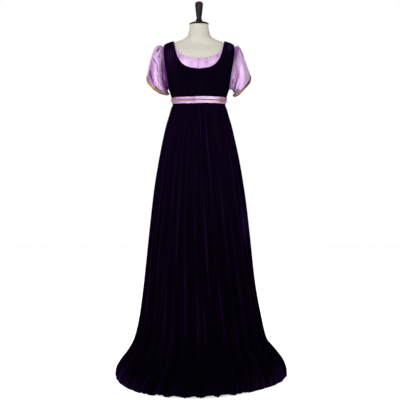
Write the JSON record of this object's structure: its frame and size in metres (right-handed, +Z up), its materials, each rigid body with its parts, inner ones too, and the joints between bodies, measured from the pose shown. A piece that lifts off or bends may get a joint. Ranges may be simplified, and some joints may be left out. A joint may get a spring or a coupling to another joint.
{
  "type": "victorian costume dress on a dress form",
  "caption": "Sleeveless high-waisted velvet dress with a train over a satin under-bodice with petal sleeves and a ribbon sash, standing on a limbless dress form",
  "frame": {"origin": "centre of the flat underside of the stand's round base, on the floor under the form's axis", "axes": "+Z up along the stand's pole, the dress faces -Y and its train lies towards +Y, its left sleeve is at +X"},
  "size_m": [0.7494, 0.84, 1.6546],
  "materials": {
    "velvet": "velvet pile",
    "satin": "satin",
    "gold_trim": "metallic braid",
    "linen": "woven linen",
    "black_wood": "satin lacquer",
    "black_iron": "satin"
  },
  "bodies": {
    "root": {"form_torso": "linen", "neck_cap": "black_wood", "neck_handle": "black_wood", "stand_pole": "black_iron", "stand_base": "black_iron", "bodice_front": "velvet", "bodice_back": "velvet", "skirt_front": "velvet", "skirt_back_left": "velvet", "skirt_back_right": "velvet", "under_bodice_front": "satin", "under_bodice_back_left": "satin", "under_bodice_back_right": "satin", "under_button_1": "satin", "under_button_2": "satin", "sleeve_left_back": "satin", "sleeve_left_front": "satin", "sleeve_right_back": "satin", "sleeve_right_front": "satin", "piping_left_back": "gold_trim", "piping_left_front": "gold_trim", "piping_right_back": "gold_trim", "piping_right_front": "gold_trim", "sash": "satin", "sash_trim": "gold_trim"}
  },
  "joints": []
}
